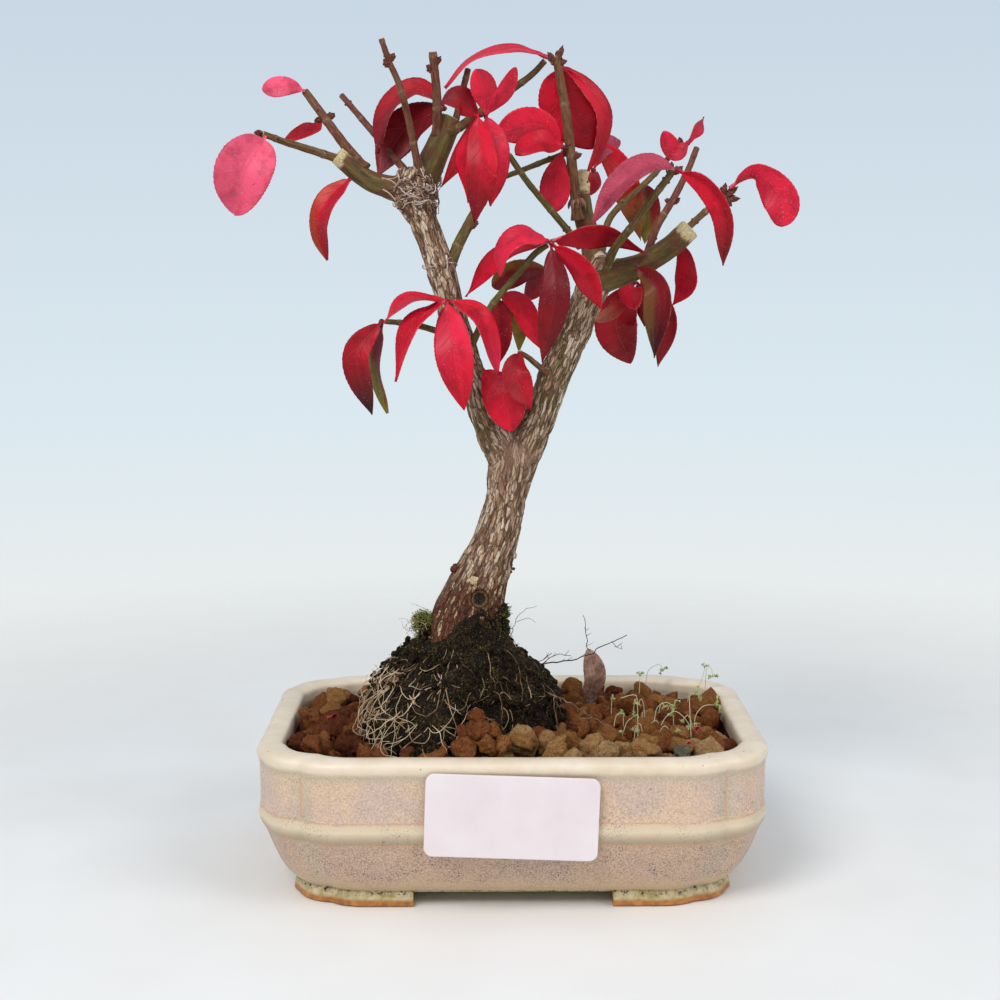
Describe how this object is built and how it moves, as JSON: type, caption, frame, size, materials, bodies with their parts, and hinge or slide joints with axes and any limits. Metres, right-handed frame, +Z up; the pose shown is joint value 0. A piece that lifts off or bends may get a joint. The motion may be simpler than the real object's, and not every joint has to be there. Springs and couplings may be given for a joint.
{
  "type": "bonsai plant in a glazed pot",
  "caption": "Dwarf burning bush bonsai with forked trunk, cut stubs and red autumn leaves, on its root ball among clay granules in a low pot with cut-off corners.",
  "frame": {"origin": "on the ground under the middle of the plant's overall outline, with the pot's feet on z = 0", "axes": "+Z up; X along the length of the pot; the front that the picture shows faces -Y"},
  "size_m": [0.1694, 0.1041, 0.2499],
  "materials": {
    "glaze": "satin",
    "screen": "matte",
    "granules": "rough",
    "compost": "rough",
    "bark": "rough",
    "card": "gloss",
    "dry": "matte",
    "crimson": "satin",
    "maroon": "satin",
    "pink": "satin",
    "olive": "satin"
  },
  "bodies": {
    "root": {"pot": "glaze", "drain_screen_left": "screen", "drain_screen_right": "screen", "root_ball": "compost", "soil": "granules", "trunk_and_branches": "bark", "label_card": "card", "dry_leaf": "dry", "leaf_far_left_tip": "pink", "leaf_curled_left": "crimson", "leaf_big_left": "pink", "leaf_below_stub": "crimson", "leaves_upper_left": "maroon", "leaves_top_cluster": "crimson", "leaf_long_arch": "crimson", "leaves_behind_top": "crimson", "leaves_mid_top": "crimson", "leaves_behind_right": "maroon", "leaves_right_top": "crimson", "leaves_pink_pair": "pink", "leaf_far_right": "crimson", "leaf_right_low": "crimson", "leaves_middle_cluster": "crimson", "leaves_back_low": "maroon", "leaves_right_dark": "maroon", "leaf_olive_behind": "olive", "leaves_dark_behind": "maroon", "leaves_inner_left": "crimson", "leaves_front_cluster": "crimson", "leaves_left_pair": "maroon", "leaf_fork_low": "crimson", "leaf_fork_high": "crimson"}
  },
  "joints": []
}
